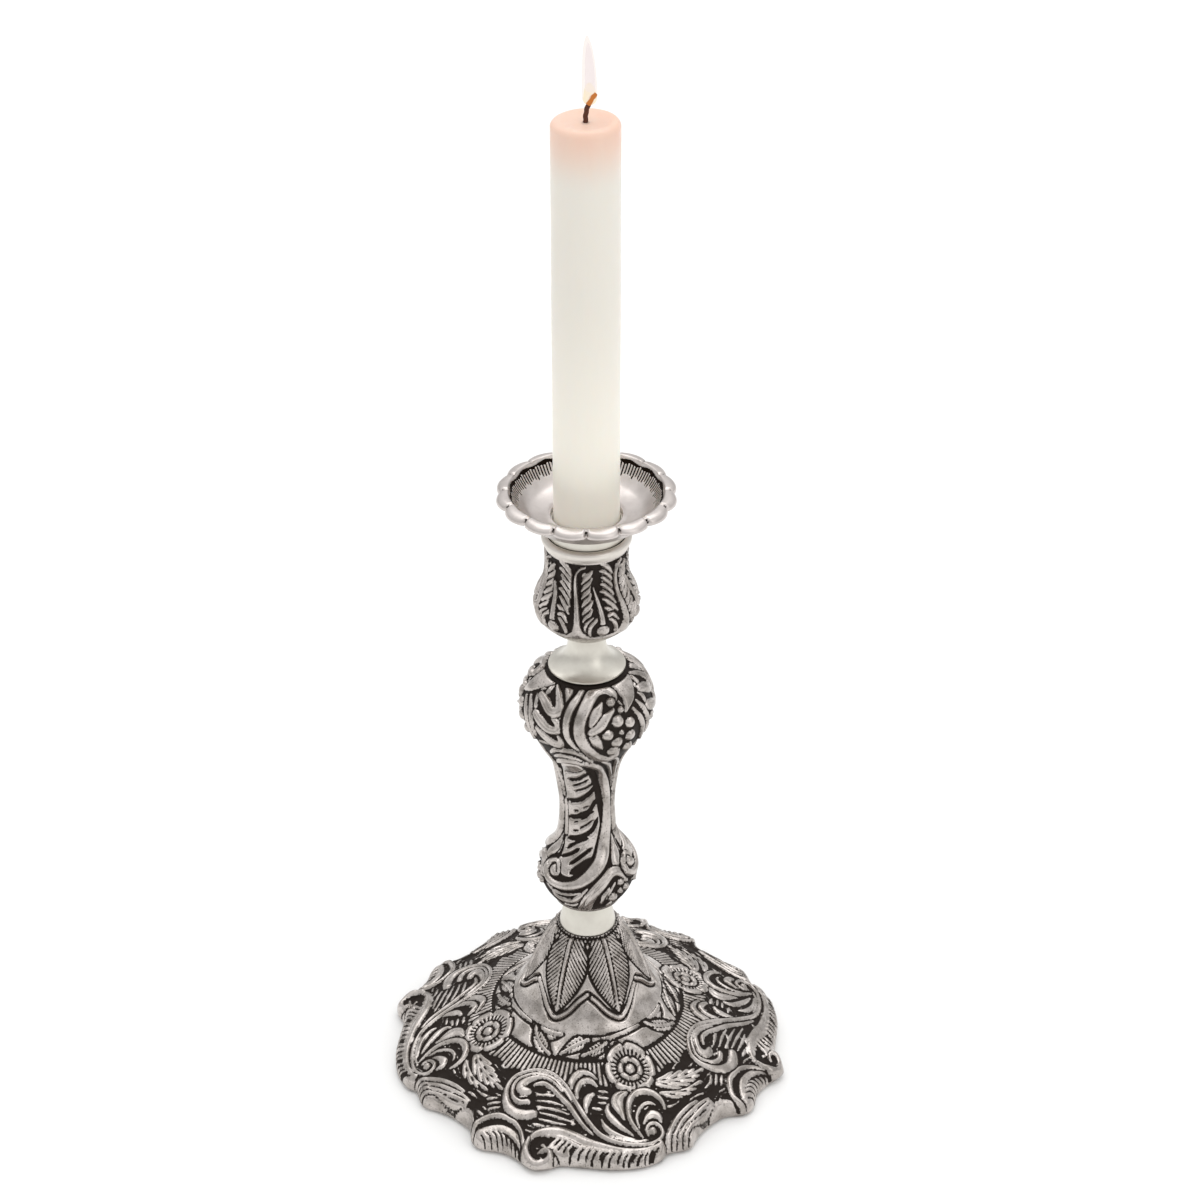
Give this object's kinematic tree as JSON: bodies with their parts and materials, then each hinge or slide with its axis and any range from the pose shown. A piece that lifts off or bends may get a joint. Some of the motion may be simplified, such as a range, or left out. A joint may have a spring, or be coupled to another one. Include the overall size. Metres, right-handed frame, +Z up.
{
  "type": "candlestick",
  "caption": "Ornate cast candlestick with a lobed relief foot, baluster stem, leafy cup and lift-out drip pan nozzle that holds a dinner candle.",
  "frame": {"origin": "centre of the foot, on the surface that it stands on", "axes": "+Z up along the stem and candle, -Y towards the viewer, +X to the viewer's right"},
  "size_m": [0.1396, 0.1395, 0.37],
  "materials": {
    "antiqued_metal": "bright worn relief over a near-black patina in the recesses",
    "satin_metal": "satin turned silver",
    "polished_metal": "polished silver, a little dulled",
    "plated_steel": "zinc plated",
    "board": "matt fibreboard",
    "felt": "felt",
    "wax": "soft wax",
    "wick_cotton": "charred braid"
  },
  "bodies": {
    "candlestick": {"foot_casting": "antiqued_metal", "cover_board": "board", "felt_pad": "felt", "foot_washer": "plated_steel", "foot_spring_washer": "plated_steel", "foot_nut": "plated_steel", "tie_rod": "plated_steel", "lower_collar": "satin_metal", "stem_casting": "antiqued_metal", "upper_collar": "satin_metal", "candle_cup": "antiqued_metal", "cup_washer": "plated_steel", "cup_nut": "plated_steel"},
    "nozzle": {"socket_sleeve": "satin_metal", "nozzle_ring": "satin_metal", "drip_pan": "polished_metal"},
    "candle": {"candle": "wax", "wick": "wick_cotton"}
  },
  "joints": [
    {"name": "nozzle_lift", "type": "slide", "parent": "candlestick", "child": "nozzle", "axis": [0, 0, 1], "range_m": [0, 0.03]},
    {"name": "candle_lift", "type": "slide", "parent": "nozzle", "child": "candle", "axis": [0, 0, 1], "range_m": [0, 0.045]}
  ]
}
